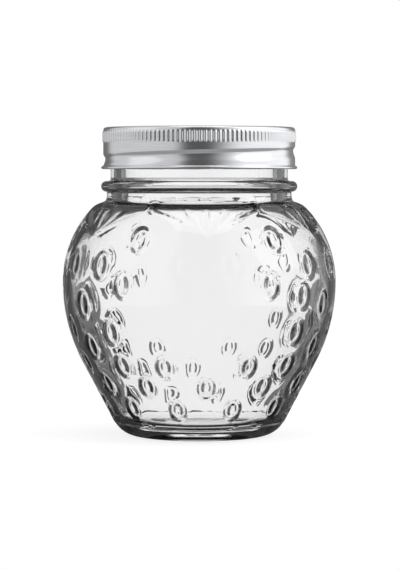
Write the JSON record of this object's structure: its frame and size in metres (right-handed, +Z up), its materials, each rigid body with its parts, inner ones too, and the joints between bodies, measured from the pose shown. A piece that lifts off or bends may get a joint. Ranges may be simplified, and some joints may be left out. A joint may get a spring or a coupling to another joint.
{
  "type": "jam jar",
  "caption": "Clear glass preserving jar shaped like a strawberry, with leaf and pip relief, closed by a flat sealing disc under a tinplate screw band.",
  "frame": {"origin": "on the table under the middle of the foot, on the jar's axis", "axes": "+Z up along the jar's axis, -Y out of the front of the jar, +X to the right of someone who looks at the front"},
  "size_m": [0.1048, 0.1048, 0.1182],
  "materials": {
    "clear_glass": "clear gloss",
    "disc_tinplate": "satin",
    "seal_compound": "matt",
    "band_tinplate": "satin"
  },
  "bodies": {
    "jar": {"glass_jar": "clear_glass"},
    "seal": {"sealing_disc": "disc_tinplate", "sealing_ring": "seal_compound"},
    "band": {"screw_band": "band_tinplate"}
  },
  "joints": [
    {"name": "lid_lift", "type": "slide", "parent": "jar", "child": "seal", "axis": [0, 0, 1], "range_m": [0, 0.0254]},
    {"name": "band_turn", "type": "hinge", "parent": "seal", "child": "band", "pos_m": [0, 0, 0.11], "axis": [0, 0, 1], "range_deg": [0, 1440]}
  ],
  "couplings": [
    {"joint": "lid_lift", "follows": "band_turn", "m_per_rad": 0.0010106}
  ]
}
